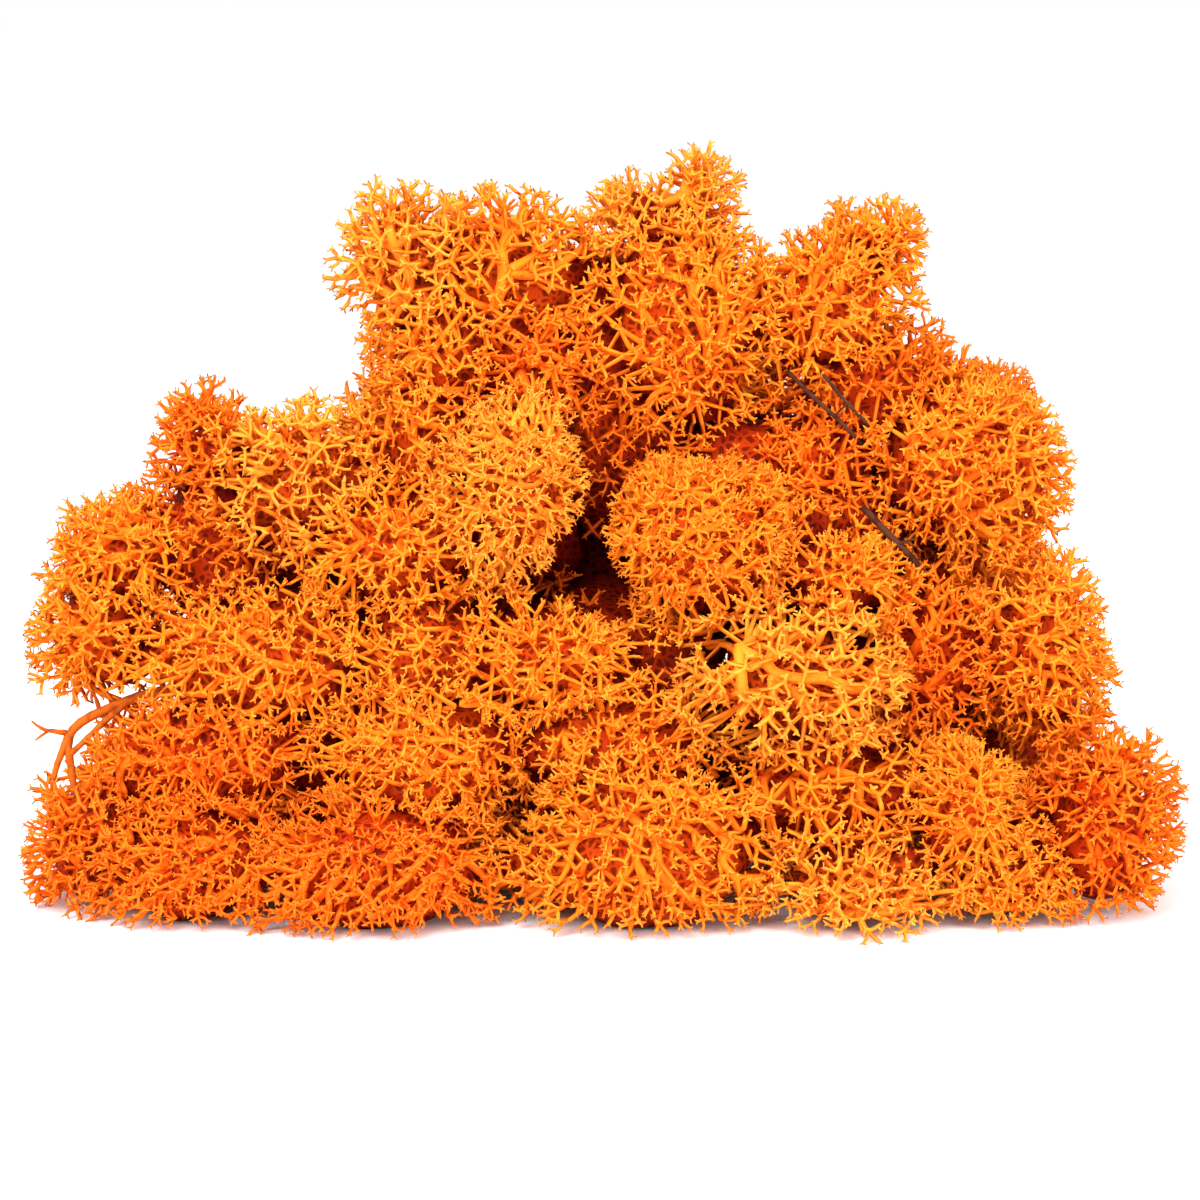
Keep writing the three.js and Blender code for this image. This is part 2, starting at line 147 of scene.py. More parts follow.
# Cushions with more than one rounded lobe: the middle and half widths of each, in mm.
LOBES = {
    "foot_left": (((-98.6, -47.2, 10), (22, 21, 21)), ((-79, -45, 11), (13, 15, 14))),
    "foot_middle": (((11.4, -54.2, 15), (31, 23, 28)), ((-19, -46, 9), (14, 15, 14))),
    "foot_right": (((97.4, -49.2, 9), (18, 17, 16)), ((104, -34, 15), (15, 15, 18))),
    "inner_right": (((59.4, -8.2, 34), (38, 35, 35)), ((36, -42, 10), (16, 14, 14))),
    "shoulder_right": (((91.4, -10.2, 104.5), (27, 23, 24)),),
    "shoulder_right_back": (((97.4, 23.8, 117.5), (14, 15, 11.5)),),
    "crown_left_fan": (((-46.8, 0.8, 153), (19.8, 19, 22)),),
    "crown_left": (((-22, -1.2, 150), (24, 20, 23)),),
    "crown_left_root": (((-38.6, -5.2, 131), (18, 19, 17)),),
    "crown_peak": (((24.4, 7.8, 166), (13, 15, 17)), ((8.4, 6.8, 161), (14, 15, 15))),
}
# Cushions whose branches start near their edge (from -1 to 1 across the form on each axis), and
# how wide the side around that root is left bare of heads, in degrees. The others start at the
# side that is nearest to the core of the heap, in mm.
ROOTS = {
    "belly_open": ((-0.45, -0.3, 0.45), 24),
    "sill_right": ((-0.3, 0.3, 0.4), 0),
    "shoulder_left_net": ((0.1, 0.5, -0.4), 0),
    "crown_left_fan": ((0.4, -0.2, -0.5), 0),
    "crown_left": ((-0.2, -0.1, -0.4), 0),
    "crown_right_tip": ((-0.5, 0.2, -0.7), 0),
}
CORE = (0.4, 10, 62)
EVERY_CUSHION = {**FEET, **SILLS, **BELLY, **CHEST, **SHOULDERS, **CROWN, **INSIDE, **BACK}
SLOTS = {part["node"]: part["material_slot"] for part in frame["record"]["subparts"]}

# The bare stalk: its runs in mm, each with its radius at every point. It comes out of the heap,
# bends over and forks, and a thinner branch and a few twigs leave it.
STALK_RUNS = (
    (
        ((-94, -26, 52), (-104, -26.5, 51.5), (-112, -27, 50), (-120, -28, 47), (-127, -30, 44),
         (-130, -31, 40), (-129, -32, 34), (-128, -33, 26)),
        (1.4, 1.35, 1.3, 1.2, 1.15, 1.15, 0.95, 0.8),
    ),
    (
        ((-129.5, -31, 41), (-131, -32, 37), (-133, -33, 32), (-133.5, -34, 27)),
        (1.1, 0.85, 0.75, 0.6),
    ),
    (
        ((-115, -27.5, 49), (-121, -29, 44), (-125, -30.5, 40), (-129.5, -32, 36)),
        (1.1, 0.8, 0.7, 0.75),
    ),
    (
        ((-130, -31, 41.5), (-133, -32, 42), (-136, -33.5, 43), (-138, -34, 45)),
        (0.8, 0.55, 0.42, 0.3),
    ),
    (((-134, -32.5, 42.4), (-136, -32.5, 41), (-137.4, -33, 40)), (0.45, 0.36, 0.26)),
    (((-122, -28.5, 46), (-123, -27.5, 50), (-125, -27, 53)), (0.7, 0.42, 0.3)),
    (((-106, -27, 51), (-108, -28, 55), (-111, -28.5, 57)), (0.7, 0.42, 0.3)),
    (((-125, -30.4, 40.4), (-123, -31, 38), (-121, -31.5, 37)), (0.5, 0.36, 0.26)),
)

# Dark dead twigs that were caught in the heap, in mm: two between the crown and the right
# shoulder, and a stouter one over the belly. Their ends are in the cushions.
TWIG_RUNS = (
    (
        ((46, -13, 128), (50, -20, 124), (57, -22, 118), (62, -22, 113), (66, -16, 108)),
        (0.5, 0.6, 0.55, 0.5, 0.4),
    ),
    (
        ((51, -12, 131), (55, -20, 127), (61, -22, 120), (65, -22, 116), (69, -16, 112)),
        (0.4, 0.5, 0.5, 0.45, 0.35),
    ),
    (((57, -22, 118), (58.5, -24.5, 120.5), (60.5, -26, 122)), (0.4, 0.3, 0.2)),
    (((64, -25, 96), (69, -31, 91), (75, -33, 85.5), (79, -28, 80)), (0.8, 0.95, 0.9, 0.7)),
    (((72, -32, 88), (74, -34.5, 89.5), (76, -35.5, 90)), (0.5, 0.35, 0.25)),
)
# The runs were laid out round another origin, and this brings them to the frame's.
RUNS_SHIFT = np.array((0.4, 2.8, 0)) * MM

# The layers of heads, the outermost first: how far apart a layer's heads stand over the habit's
# gap, how much more open air they need, and how much of a bare side stays bare.
LAYER_GAPS = (1.0, 1.2, 1.5)
LAYER_LIGHT = (0, 0.06, 0.2)
LAYER_BARE = (1, 0.75, 0.5)
HEAD_RISE = 0.7  # height of a star head over its width
HALF_OPEN = 0.5  # with less open air than this a spot is in a groove, starts to be shut in, and gets painted shade
LOWEST = 0.15 * MM  # nothing reaches nearer to the floor

# Each lamp: its name, its place and width in m, and its power over the key light's.
LAMPS = (("key", (-0.35, -0.9, 0.95), 0.9, 1.0), ("fill", (0.8, -0.8, 0.45), 0.8, 0.4))
AIM = Vector((0.4, 2.2, 69.2)) * MM  # the point that the camera and the lamps are turned to


class LichenSizes(bpy.types.PropertyGroup):
    """Sizes of the lichen's branches and star heads"""

    head_width: bpy.props.FloatProperty(
        name="Head width",
        description="Width of one star head over its tips",
        default=7.4 * MM,
        unit="LENGTH",
    )
    head_gap: bpy.props.FloatProperty(
        name="Head gap",
        description="Least distance between two star heads of a cushion",
        default=4.5 * MM,
        unit="LENGTH",
    )
    stalk_radius: bpy.props.FloatProperty(
        name="Stalk radius",
        description="Radius of the thin stalk under a star head",
        default=0.52 * MM,
        unit="LENGTH",
    )
    main_radius: bpy.props.FloatProperty(
        name="Main branch radius",
        description="Radius that the thickest branches reach",
        default=1.25 * MM,
        unit="LENGTH",
    )
    fork_gap: bpy.props.FloatProperty(
        name="Fork gap",
        description="Usual length of a branch from one fork to the next",
        default=6.4 * MM,
        unit="LENGTH",
    )
    layer_drop: bpy.props.FloatProperty(
        name="Layer drop",
        description="How much deeper the second layer of heads sits",
        default=3.8 * MM,
        unit="LENGTH",
    )
    blend: bpy.props.FloatProperty(
        name="Blend",
        description="How softly the heads fill the groove between two cushions",
        default=3.0 * MM,
        unit="LENGTH",
    )
    seed: bpy.props.IntProperty(
        name="Seed", description="Start of the random growth", default=7
    )


def linear(code):
    """An sRGB hex colour as the linear numbers that a shader takes."""
    parts = [int(code[i : i + 2], 16) / 255 for i in (1, 3, 5)]
    return [c / 12.92 if c <= 0.04045 else ((c + 0.055) / 1.055) ** 2.4 for c in parts]


AS_COLOUR = dict(subtype="COLOR", min=0, max=1)


class LichenColours(bpy.types.PropertyGroup):
    """Dyes of the lichen, with a darker copy of the orange as painted shade on the hidden cushions
    """

    lichen_amber: bpy.props.FloatVectorProperty(
        name="Amber",
        description="Dye of the yellower heads",
        default=linear("#ff9728"),
        **AS_COLOUR,
    )
    lichen_orange: bpy.props.FloatVectorProperty(
        name="Orange",
        description="Dye of most heads",
        default=linear("#ff8a1c"),
        **AS_COLOUR,
    )
    lichen_rust: bpy.props.FloatVectorProperty(
        name="Rust",
        description="Dye of the redder heads",
        default=linear("#f97614"),
        **AS_COLOUR,
    )
    # A darker, redder copy of the orange dye: painted shade on the hidden and recessed cushions,
    # which stand in shadow.
    lichen_shade: bpy.props.FloatVectorProperty(
        name="Shade",
        description="Dye of the hidden cushions",
        default=linear("#ec6f10"),
        **AS_COLOUR,
    )
    old_stalk: bpy.props.FloatVectorProperty(
        name="Old stalk",
        description="Colour of the bare old stalk",
        default=linear("#c05c14"),
        **AS_COLOUR,
    )
    dead_twig: bpy.props.FloatVectorProperty(
        name="Dead twig",
        description="Colour of the dark twigs caught in the heap",
        default=linear("#4a2a1c"),
        **AS_COLOUR,
    )


class StageLook(bpy.types.PropertyGroup):
    """Floor, light and camera"""

    room_light: bpy.props.FloatProperty(
        name="Room light", description="Strength of the white room", default=1.0, min=0
    )
    key_light: bpy.props.FloatProperty(
        name="Key light", description="Power of the large soft lamp in watts", default=24.0, min=0
    )
    camera_distance: bpy.props.FloatProperty(
        name="Camera distance",
        description="From the camera to the middle of the heap",
        default=1.0,
        unit="LENGTH",
    )
    camera_tilt: bpy.props.FloatProperty(
        name="Camera tilt",
        description="How far the camera looks down",
        default=math.radians(9.5),
        subtype="ANGLE",
    )


# ---------------------------------------------------------------- colours and materials


def add_node(tree, kind, sockets=None, **settings):
    """Adds a node with its settings, and links or sets its sockets."""
    node = tree.nodes.new(kind)
    for name, value in settings.items():
        setattr(node, name, value)
    for name, value in (sockets or {}).items():
        if isinstance(value, bpy.types.NodeSocket):
            tree.links.new(value, node.inputs[name])
        else:
            node.inputs[name].default_value = value
    return node


def new_material(name):
    """A material with an empty look, and its tree and shader."""
    material = bpy.data.materials.new(name)
    material.use_nodes = True
    tree = material.node_tree
    return material, tree, tree.nodes["Principled BSDF"]


# Colours made from the dye, as shares of its red, green and blue: a painted highlight at a thin
# tip; painted shade down between the branches, on the ridges and in the pits of a crowded heart,
# and where little light comes in; where the dye took more; and on an old scar.
TIP_PAINTED_HIGHLIGHT = (1.0, 1.18, 2.2)
DEPTH_PAINTED_SHADE = (0.9, 0.48, 0.22)
HEART_RIDGE_PAINTED_SHADE = (0.5, 0.19, 0.06)
HEART_PIT_PAINTED_SHADE = (0.15, 0.05, 0.02)
SHUT_IN_PAINTED_SHADE = (0.46, 0.2, 0.09)
STRONG_DYE = (0.88, 0.7, 0.5)
SCARRED = (0.4, 0.25, 0.3)


def shade_of(body, shares):
    """A dye's colour with each of its three numbers times a share."""
    return [*(min(1, c * share) for c, share in zip(body, shares)), 1]


def dyed_lichen(name, body):
    """Dried reindeer lichen soaked in dye and glycerine: matt felted branches, with a painted
    highlight that makes the thin star tips paler and yellower, and painted shade that makes the
    branches redder and darker down in the cushion, in its crowded heart and in its grooves."""
    if name in bpy.data.materials:
        return bpy.data.materials[name]
    material, tree, shader = new_material(name)
    shader.inputs["IOR"].default_value = 1.45
    shader.inputs["Specular IOR Level"].default_value = 0.08

    place = add_node(tree, "ShaderNodeTexCoord").outputs["Object"]
    # Patches where the dye took more or less, about 14 mm across.
    patches = add_node(
        tree, "ShaderNodeTexNoise", {"Vector": place, "Scale": 1 / (14 * MM), "Detail": 2.0}
    ).outputs["Fac"]
    # The felted skin of the branches, with grains of about 0.6 mm.
    grains = add_node(
        tree, "ShaderNodeTexNoise", {"Vector": place, "Scale": 1 / (0.6 * MM), "Detail": 2.0}
    ).outputs["Fac"]
    # The crowded heart shows as a net of branches about 2.2 mm from fork to fork, dark on its
    # ridges and darker in its pits, as painted shade.
    net = add_node(
        tree,
        "ShaderNodeTexVoronoi",
        {"Vector": place, "Scale": 1 / (2.2 * MM)},
        feature="DISTANCE_TO_EDGE",
    ).outputs["Distance"]
    ridges = add_node(
        tree, "ShaderNodeMapRange", {"Value": net, "From Min": 0.24, "From Max": 0.06}
    )
    heart = add_node(
        tree,
        "ShaderNodeMix",
        {
            0: ridges.outputs["Result"],
            6: shade_of(body, HEART_PIT_PAINTED_SHADE),
            7: shade_of(body, HEART_RIDGE_PAINTED_SHADE),
        },
        data_type="RGBA",
    ).outputs[2]
    tip, inside, shut, own = (
        add_node(tree, "ShaderNodeAttribute", attribute_name=mark).outputs["Fac"]
        for mark in ("tip", "inside", "shut", "own")
    )
    # Each step lays one more colour over those before it: what says where, the values at which it
    # starts and is full, how much of it there is then, the colour, and how it is laid.
    colour = [*body, 1]
    for where, start, full, share, over, kind in (
        # Painted highlight: the thin tips paler and yellower.
        (tip, 0.35, 1.0, 1.0, shade_of(body, TIP_PAINTED_HIGHLIGHT), "MIX"),
        # Painted shade: redder and darker deeper in the cushion.
        (inside, 0.25, 1.1, 1.0, shade_of(body, DEPTH_PAINTED_SHADE), "MIX"),
        # Painted shade: the crowded heart's dark net.
        (inside, 1.2, 1.6, 1.0, heart, "MIX"),
        # Painted shade where little open air reaches, in grooves and recesses.
        (shut, 0.15, 0.75, 0.95, [*SHUT_IN_PAINTED_SHADE, 1], "MULTIPLY"),
        (patches, 0.42, 0.66, 0.6, [*STRONG_DYE, 1], "MULTIPLY"),
        (own, 0.0, 1.0, 0.4, [*STRONG_DYE, 1], "MULTIPLY"),
    ):
        amount = add_node(
            tree,
            "ShaderNodeMapRange",
            {"Value": where, "From Min": start, "From Max": full, "To Max": share},
        ).outputs["Result"]
        colour = add_node(
            tree,
            "ShaderNodeMix",
            {0: amount, 6: colour, 7: over},
            data_type="RGBA",
            blend_type=kind,
        ).outputs[2]
    tree.links.new(colour, shader.inputs["Base Color"])
    rough = add_node(
        tree,
        "ShaderNodeMapRange",
        {"Value": grains, "From Min": 0.3, "From Max": 0.7, "To Min": 0.62, "To Max": 0.86},
    )
    tree.links.new(rough.outputs["Result"], shader.inputs["Roughness"])
    skin = add_node(
        tree, "ShaderNodeBump", {"Strength": 0.35, "Distance": 0.12 * MM, "Height": grains}
    )
    tree.links.new(skin.outputs["Normal"], shader.inputs["Normal"])
    return material


def old_wood(name, body):
    """An old bare lichen stalk: dyed right through, but darker and browner, with fine wrinkles
    and dark scars where side branches broke off."""
    if name in bpy.data.materials:
        return bpy.data.materials[name]
    material, tree, shader = new_material(name)
    shader.inputs["IOR"].default_value = 1.45
    shader.inputs["Specular IOR Level"].default_value = 0.1
    place = add_node(tree, "ShaderNodeTexCoord").outputs["Object"]
    # Wrinkles about 0.5 mm apart, and scars about 3 mm apart.
    wrinkles = add_node(
        tree, "ShaderNodeTexNoise", {"Vector": place, "Scale": 1 / (0.5 * MM), "Detail": 3.0}
    ).outputs["Fac"]
    scars = add_node(
        tree, "ShaderNodeTexNoise", {"Vector": place, "Scale": 1 / (3 * MM), "Detail": 2.0}
    ).outputs["Fac"]
    amount = add_node(
        tree,
        "ShaderNodeMapRange",
        {"Value": scars, "From Min": 0.5, "From Max": 0.7, "To Max": 0.8},
    ).outputs["Result"]
    colour = add_node(
        tree,
        "ShaderNodeMix",
        {0: amount, 6: [*body, 1], 7: shade_of(body, SCARRED)},
        data_type="RGBA",
    ).outputs[2]
    tree.links.new(colour, shader.inputs["Base Color"])
    rough = add_node(
        tree,
        "ShaderNodeMapRange",
        {"Value": wrinkles, "From Min": 0.3, "From Max": 0.7, "To Min": 0.6, "To Max": 0.85},
    )
    tree.links.new(rough.outputs["Result"], shader.inputs["Roughness"])
    bark = add_node(
        tree, "ShaderNodeBump", {"Strength": 0.6, "Distance": 0.2 * MM, "Height": wrinkles}
    )
    tree.links.new(bark.outputs["Normal"], shader.inputs["Normal"])
    return material


# ---------------------------------------------------------------- the cushions' forms


def unit(rows):
    """Each row as a direction of length 1."""
    return rows / np.linalg.norm(rows, axis=1)[:, None]


def lobes_of(node):
    """The middles and half widths of the rounded lobes of a cushion, in metres."""
    lobes = LOBES.get(node, (EVERY_CUSHION[node][1:],))
    middles, halves = zip(*lobes)
    return np.array(middles) * MM, np.array(halves) * MM


class Heap:
    """The merged form of a cushion and those around it, where the groove between two is partly
    filled. The lobes of the cushion itself come first."""

    def __init__(self, node, blend):
        middles, halves = lobes_of(node)
        self.own = len(middles)
        self.middle, self.half = middles[0], halves[0]
        self.low, self.high = (middles - halves).min(axis=0), (middles + halves).max(axis=0)
        self.low[2] = max(self.low[2], 0)
        for other in EVERY_CUSHION:
            if other == node:
                continue
            others, widths = lobes_of(other)
            apart = np.maximum(self.low - (others + widths), (others - widths) - self.high)
            # A lobe that is further off than this changes nothing here.
            near = apart.max(axis=1) < 5 * blend
            middles = np.vstack([middles, others[near]])
            halves = np.vstack([halves, widths[near]])
        self.middles, self.halves, self.blend = middles, halves, blend

    def rises(self, points):
        """How far each point is over each lobe."""
        off = (points[:, None] - self.middles[None]) / self.halves[None]
        far = np.linalg.norm(off, axis=2) + 1e-9
        return far * (far - 1) / np.linalg.norm(off / self.halves[None], axis=2)

    def rise(self, points):
        """How far each point is over the merged form."""
        rises = self.rises(points)
        least = rises.min(axis=1)
        crowd = np.exp((least[:, None] - rises) / self.blend).sum(axis=1)
        return least - self.blend * np.log(crowd)

    def ours(self, points):
        """How far each point is on this cushion's side of the middle line to its neighbours."""
        rises = self.rises(points)
        return rises[:, self.own :].min(axis=1) - rises[:, : self.own].min(axis=1)

    def slope(self, points):
        """The rise of each point, and the way straight out from the form."""
        step = 0.2 * MM
        here = self.rise(points)
        out = np.stack([self.rise(points + step * np.eye(3)[k]) - here for k in range(3)], axis=1)
        return here, out / (np.linalg.norm(out, axis=1)[:, None] + 1e-12)

    def brought_to(self, points, level):
        """Those points moved straight out or in until their rise is the level."""
        for _ in range(4):
            here, out = self.slope(points)
            points = points - np.clip(here - level, -4 * MM, 4 * MM)[:, None] * out
        return points, self.slope(points)[1]

    def spots(self, gap, rng):
        """Points spread over this cushion's share of the merged form, no two closer than gap,
        each with its outward direction."""
        over_floor, past_edge, farthest = 0.5 * MM, 0.6 * MM, 12 * MM
        kept, turned = [], []
        for middle, half in zip(self.middles[: self.own], self.halves[: self.own]):
            # So many tries leave no gap that another head would fit in.
            tries = int(110 * half.max() ** 2 / gap**2)
            ways = rng.normal(0, 1, (tries, 3))
            start = middle + unit(ways) * half
            start = start[start[:, 2] > over_floor]
            points, out = self.brought_to(start, waves(start))
            near = (self.ours(points) > -past_edge) & (points[:, 2] > over_floor)
            near &= np.linalg.norm(points - start, axis=1) < farthest
            kept.append(points[near])
            turned.append(out[near])
        points, out = np.vstack(kept), np.vstack(turned)
        chosen = spread_out(points, gap)
        return points[chosen], out[chosen]

    def filling(self, gap, least_depth, rng):
        """Points spread through the inside, for the forks of the branches."""
        tries = int(5 * np.prod(self.high - self.low) / gap**3)
        points = self.low + rng.random((tries, 3)) * (self.high - self.low)
        points = points[(self.rise(points) < -least_depth) & (self.ours(points) > 0)]
        points = points[points[:, 2] > 3 * MM]
        return points[spread_out(points, gap)]


def spread_out(points, gap):
    """The rows of those points that are kept so that no two are closer than gap."""
    kept = np.empty((0, 3))
    chosen = []
    for i, point in enumerate(points):
        if not len(kept) or ((kept - point) ** 2).sum(axis=1).min() > gap * gap:
            kept = np.vstack([kept, point])
            chosen.append(i)
    return np.array(chosen, dtype=int)


def waves(points):
    """Swells and dips of the form at each point, a few mm high."""
    heights = [
        noise.noise(Vector(p) / (21 * MM)) * 3.4
        + noise.noise(Vector(p) / (8 * MM) + Vector((5, 2, 9))) * 1.4
        for p in points
    ]
    return (np.array(heights) - 0.6) * MM


AIRY_SKIN = 3.5 * MM  # the outer few mm of a cushion count as air
FAR_OFF = 70 * MM  # what is further away than this shuts nothing in
FLOOR_SHADE = 4 * MM  # the floor shuts in what is nearer to it, on the way down
LOOKS = 18  # directions that are tried
TURN_OF_LOOKS = 2.39996  # from one to the next, in radians, which spreads them evenly


def open_air(points, outs):
    """Share of the directions away from each point that reach open air, and their middle."""
    lobes = [lobes_of(node) for node in EVERY_CUSHION]
    middles = np.vstack([middle for middle, _ in lobes])
    halves = np.vstack([half for _, half in lobes]) - AIRY_SKIN
    across = unit(np.cross(outs, np.where(np.abs(outs[:, 2:]) < 0.9, UP, (1, 0, 0))))
    along = np.cross(outs, across)
    starts = (points[:, None] - middles[None]) / halves[None]
    over = (starts**2).sum(axis=2) - 1
    clear = np.zeros(len(points))
    free = outs * 0.01
    for i in range(LOOKS):
        height, turn = 1 - (i + 0.5) / LOOKS, i * TURN_OF_LOOKS
        flat = math.sqrt(1 - height * height)
        ways = outs * height + across * flat * math.cos(turn) + along * flat * math.sin(turn)
        steps = ways[:, None] / halves[None]
        a, b = (steps**2).sum(axis=2), (starts * steps).sum(axis=2)
        inner = b * b - a * over
        there = (-b - np.sqrt(np.maximum(inner, 0))) / a
        hits = (over < 0) | ((inner > 0) & (there > 0) & (there < FAR_OFF))
        floored = (ways[:, 2] < 0) & (points[:, 2] < -ways[:, 2] * FLOOR_SHADE)
        open_ways = ~(hits.any(axis=1) | floored)
        clear += open_ways
        free = free + ways * open_ways[:, None]
    return clear / LOOKS, unit(free)


# ---------------------------------------------------------------- star heads


def draw_out(bm, face, way, length, radius, tip):
    """Draws one face out into an arm that ends in a regular face of that radius."""
    end = bmesh.ops.extrude_discrete_faces(bm, faces=[face])["faces"][0]
    middle = end.calc_center_median()
    corners = list(end.verts)
    side = corners[0].co - middle
    side = (side - way * side.dot(way)).normalized()
    marks = bm.verts.layers.float["tip"]
    for i, corner in enumerate(corners):
        around = Matrix.Rotation(2 * math.pi * i / len(corners), 3, way)
        corner.co = middle + way * length + around @ side * radius
        corner[marks] = tip
    end.normal_update()
    return end


WIDTH_AS_MADE = 7.4  # mm over the tips of a star head before it is sized


def star_head(seed, arms, kind):
    """One star-tipped end of a branch, in mm along Z from its foot: a short stalk that forks into
    curved arms, each with two or three stubby tips. Near and wide heads bend their arms and have
    blunt tips, deep ones are plainer, because they stand lower in the cushion."""
    rng = random.Random(seed)
    bm = bmesh.new()
    marks = bm.verts.layers.float.new("tip")
    stalk = rng.uniform(1.6, 2.3)
    bmesh.ops.create_cone(
        bm,
        cap_ends=True,
        cap_tris=False,
        segments=arms,
        radius1=0.5,
        radius2=0.74,
        depth=stalk,
        matrix=Matrix.Translation((0, 0, stalk / 2)),
    )
    top = max(bm.faces, key=lambda f: f.calc_center_median().z)
    fan = bmesh.ops.poke(bm, faces=[top])
    bmesh.ops.translate(bm, verts=fan["verts"], vec=(0, 0, 0.12))
    for v in bm.verts:
        v[marks] = 0.1 if v.co.z < 0.1 else 0.35
    for face in fan["faces"]:
        face.normal_update()
        centre = face.calc_center_median()
        turn = math.atan2(centre.y, centre.x) + rng.uniform(-0.3, 0.3)
        lean = math.radians(rng.uniform(58, 82) if kind == "wide" else rng.uniform(30, 62))
        way = Vector(
            (math.sin(lean) * math.cos(turn), math.sin(lean) * math.sin(turn), math.cos(lean))
        )
        arm = face
        if kind == "deep":
            arm = draw_out(bm, arm, way, rng.uniform(2.2, 3.2), 0.44, 0.5)
        else:
            arm = draw_out(bm, arm, way, rng.uniform(1.2, 1.8), 0.5, 0.5)
            bend = Vector([rng.uniform(-0.45, 0.45) for _ in range(3)])
            way = (way + bend + UP * rng.uniform(0.1, 0.6)).normalized()
            arm = draw_out(bm, arm, way, rng.uniform(1.0, 1.7), 0.46, 0.6)
        ends = bmesh.ops.poke(bm, faces=[arm])
        bmesh.ops.translate(bm, verts=ends["verts"], vec=way * 0.14)
        three = list(ends["faces"])
        rng.shuffle(three)
        hub = ends["verts"][0].co.copy()
        for end in three[: 2 if rng.random() < (0.6 if kind == "deep" else 0.2) else 3]:
            end.normal_update()
            aside = (end.calc_center_median() - hub).normalized()
            point = (way * 0.7 + UP * 0.25 + aside * rng.uniform(0.6, 1.1)).normalized()
            made = draw_out(bm, end, point, rng.uniform(0.75, 1.35), 0.25, 1.0)
            # A deep tip is a point, the others end bluntly, in an edge.
            pair = list(made.verts)[: 3 if kind == "deep" else 2]
            middle = sum((v.co for v in pair), Vector()) / len(pair)
            bmesh.ops.pointmerge(bm, verts=pair, merge_co=middle)
    mesh = bpy.data.meshes.new("head")
    bm.to_mesh(mesh)
    bm.free()
    return mesh


HEADS = {}


def head_kinds():
    """The star heads that every cushion is set with."""
    if not HEADS:
        for kind, many, arms in (
            ("near", 14, (3, 4, 3)),
            ("wide", 10, (4, 3, 5)),
            ("deep", 8, (3, 3, 4)),
        ):
            HEADS[kind] = [star_head(i, arms[i % 3], kind) for i in range(many)]
    return HEADS


# ---------------------------------------------------------------- branches


def joined_up(root, ends, forks, gap, rng):
    """The cheapest way from the root to every head, from fork to fork, with at most three heads
    on a fork. Gives each point's parent. Points are the root, then the forks, then the ends."""
    points = np.vstack([root[None], forks, ends])
    first_end = 1 + len(forks)
    apart = np.linalg.norm(points[:, None] - points[None, :first_end], axis=2)
    # One long step costs more than two short ones, and each fork costs a little more.
    price = (apart / gap) ** 2.2 + 0.12
    # A point is joined to one of the seven forks nearest to it, and the root to four.
    near = np.argsort(apart, axis=1)[:, 1:8]
    trunks = set(np.argsort(apart[0])[1:5])
    cost = np.full(first_end, np.inf)
    parent = np.zeros(len(points), dtype=int)
    cost[0] = 0
    queue = [(0.0, 0)]
    while queue:
        so_far, i = heapq.heappop(queue)
        if so_far > cost[i]:
            continue
        linked = set(near[i]) | set(np.where((near[:first_end] == i).any(axis=1))[0])
        for j in trunks if i == 0 else linked:
            if so_far + price[j, i] < cost[j]:
                cost[j], parent[j] = so_far + price[j, i], i
                heapq.heappush(queue, (cost[j], int(j)))
    carried = np.zeros(first_end, dtype=int)
    for end in first_end + rng.permutation(len(ends)):
        options = sorted(near[end], key=lambda i: cost[i] * 0.5 + price[end, i])
        free = [i for i in options[:5] if carried[i] < 3 and i > 0]
        parent[end] = free[0] if free else options[0]
        carried[parent[end]] += 1
    return points, parent, first_end


def branches(points, parent, first_end, buried, thin, thick, out_at_ends):
    """Smooth tapering branches through the joined points, as three meshes: short, slim and stout
    ones. The buried points are those in the crowded heart, where no branch can be told from
    another."""
    count = len(points)
    children = {i: [] for i in range(count)}
    for j in range(1, count):
        children[parent[j]].append(j)
    order, stack = [], [0]
    while stack:
        order.append(stack.pop())
        stack.extend(children[order[-1]])
    # A branch thickens with the heads that it carries.
    carried = np.zeros(count)
    for i in reversed(order):
        carried[i] = (i >= first_end) + sum(carried[c] for c in children[i])
    radius = np.minimum(thin * np.maximum(carried, 1) ** 0.38, thick)
    short, slim, stout = [], [], []
    starts = [(0, c) for c in children[0] if carried[c] > 0]
    while starts:
        base, at = starts.pop()
        chain = [base, at]
        while True:
            live = sorted((c for c in children[chain[-1]] if carried[c]), key=lambda c: -carried[c])
            if not live:
                break
            starts.extend((chain[-1], c) for c in live[1:])
            chain.append(live[0])
        while len(chain) > 2 and buried[chain[0]] and buried[chain[1]]:
            chain.pop(0)
        if buried[chain[-1]]:
            continue
        base, at = chain[:2]
        # A branch is stoutest at its fork, where the real ones are webbed together.
        width = [min(radius[base], radius[at] * 1.5)] + [radius[i] for i in chain[1:]]
        spots = [points[i] for i in chain]
        if chain[-1] >= first_end:
            spots.append(points[chain[-1]] + out_at_ends[chain[-1] - first_end] * 0.8 * MM)
            width.append(width[-1])
        if max(width) > 1.1 * MM:
            stout.append((spots, width))
        elif len(spots) > 3:
            slim.append((spots, width))
        else:
            short.append((spots, width))
    return [swept(short, sides=3, steps=1), swept(slim, 3, 2), swept(stout, 5, 3)]


